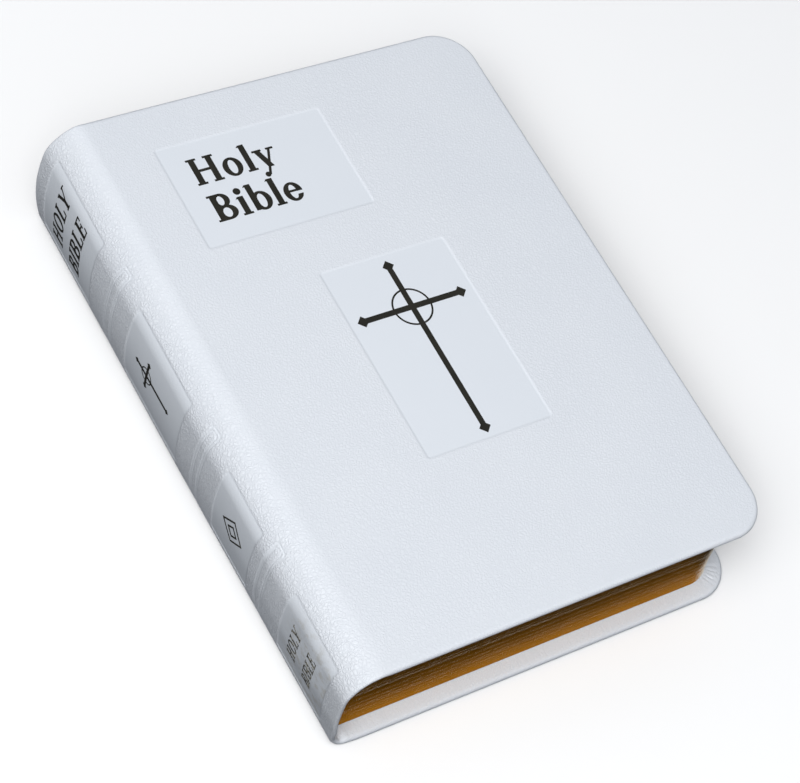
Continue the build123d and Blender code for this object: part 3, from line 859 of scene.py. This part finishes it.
for n in range(1, 5):
    node = frame["nodes"][f"spine_foil_{n}"]
    for part, (above, below) in enumerate(((n - 1, n), (n, n + 1))):
        if above < 1 or below > 4:
            continue
        level = flex_levels[above - 1]
        shape = bmesh.new()
        shape.from_mesh(node.data)
        bmesh.ops.remove_doubles(shape, verts=shape.verts, dist=1e-7)
        if n in (2, 3):
            keep_above = part == 0
            bmesh.ops.bisect_plane(shape, geom=everything_in(shape), dist=1e-8,
                                   plane_co=(0, 0, strip_cuts[n - 1] * MM), plane_no=(0, 0, 1),
                                   clear_inner=keep_above, clear_outer=not keep_above)
        for z in np.concatenate([np.arange(level - 2.0, level + 2.01, 0.4), letter_cuts]):
            bmesh.ops.bisect_plane(shape, geom=everything_in(shape), dist=1e-8,
                                   plane_co=(0, 0, z * MM), plane_no=(0, 0, 1))
        if not shape.faces:
            shape.free()
            continue
        points = np.array([v.co for v in shape.verts]) / MM
        above_curve = points[:, 2] > shoulder_z
        centre_x = np.where(above_curve, front_joint, back_curve_x)
        radius = np.where(above_curve, shoulder_r, back_curve_r)
        away = np.hypot(points[:, 0] - centre_x, points[:, 2] - shoulder_z)
        fall = np.arcsin((shoulder_z - points[:, 2]) / away)
        s = np.where(above_curve, shoulder_r * (pi / 2 + fall),
                     shoulder_length + back_curve_r * fall)
        depth = radius - away + stamp_depth - foil_lift
        points[:, 0], points[:, 2] = spine_point(s, depth, points[:, 1])
        index = {v: i for i, v in enumerate(shape.verts)}
        faces = [[index[v] for v in face.verts] for face in shape.faces]
        shape.free()
        piece = make_piece(f"spine_foil_{n}_{part}", points, faces, [spine_foil], sharp=30)
        (level + spine_flex) * MM
        (level - spine_flex) * MM
        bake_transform(piece)
        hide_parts(f"spine_foil_{n}")


# ---------------------------------------------------------------------------------------------
# Table, light and camera.
# ---------------------------------------------------------------------------------------------
def floor_finish():
    finish = Finish("pale_table")
    place = finish.node("TexCoord", {}, {}, out="Object")
    cloud = finish.noise(place, 3.0, 2.0, 0.5)
    tone = finish.blend_colours(cloud, (0.90, 0.90, 0.90), (0.93, 0.93, 0.93))
    return finish.surface(base_color=tone, roughness=0.9)


floor_mesh = bpy.data.meshes.new("table")
table_half = 3.0
table_corners = [(x * table_half, y * table_half, 0)
                 for x, y in ((-1, -1), (1, -1), (1, 1), (-1, 1))]
floor_mesh.from_pydata(table_corners, [], [(0, 1, 2, 3)])
floor_mesh.materials.append(floor_finish())
table = bpy.data.objects.new("table", floor_mesh)
table.location.z = -0.0002
bpy.context.scene.collection.objects.link(table)

table.visible_diffuse = False     # the book stands over a surface that throws little light back
table.visible_glossy = False

world = bpy.data.worlds.new("studio")
bpy.context.scene.world = world
world.use_nodes = True
world.node_tree.nodes.clear()
sky = Finish("studio_air", world)
height = sky.node("SeparateXYZ", {}, {0: sky.node("TexCoord", {}, {}, out="Generated")}, out=2)
air = sky.blend_colours(sky.step(height, -0.12, 0.20), (0.045, 0.050, 0.058), (0.285, 0.300, 0.325))
sky.node("OutputWorld", {}, {"Surface": sky.node("Background", {}, {"Color": air})})


def softbox(name, azimuth, elevation, distance, size, power, colour):
    light = bpy.data.lights.new(name, "AREA")
    light.shape, light.size, light.energy, light.color = "SQUARE", size, power, colour
    lamp = bpy.data.objects.new(name, light)
    a, e = radians(azimuth), radians(elevation)
    away = Vector((sin(a) * cos(e), -cos(a) * cos(e), sin(e)))
    lamp.location = away * distance
    lamp.rotation_mode = "QUATERNION"
    lamp.rotation_quaternion = away.to_track_quat("Z", "Y")
    bpy.context.scene.collection.objects.link(lamp)


softbox("key", -61, 55, 0.95, 0.55, 5.0, (1.0, 0.995, 0.985))

far_light = bpy.data.lights.new("far_light", "SUN")
far_light.energy, far_light.angle = 1.52, radians(28)
far_lamp = bpy.data.objects.new("far_light", far_light)
far_lamp.rotation_euler = (radians(35), 0, radians(-61))
bpy.context.scene.collection.objects.link(far_lamp)

azimuth, elevation, roll = radians(-52.94), radians(53.04), radians(28.24)
distance = 0.6889
towards = Vector((sin(azimuth) * cos(elevation), -cos(azimuth) * cos(elevation), sin(elevation)))
level_right = (-towards).cross(Vector((0, 0, 1))).normalized()
level_up = level_right.cross(-towards)
right = cos(roll) * level_right + sin(roll) * level_up
upward = -sin(roll) * level_right + cos(roll) * level_up
lens = bpy.data.cameras.new("camera")
lens.sensor_width, lens.lens = 36.0, 118.5
lens.clip_start, lens.clip_end = 0.05, 20.0
camera = bpy.data.objects.new("camera", lens)
aim = Vector((0.0043, -0.0008, 0.0058))
camera.matrix_world = Matrix((right, upward, towards)).transposed().to_4x4()
camera.location = aim + towards * distance
bpy.context.scene.collection.objects.link(camera)
bpy.context.scene.camera = camera
bpy.context.scene.view_settings.view_transform = "Standard"
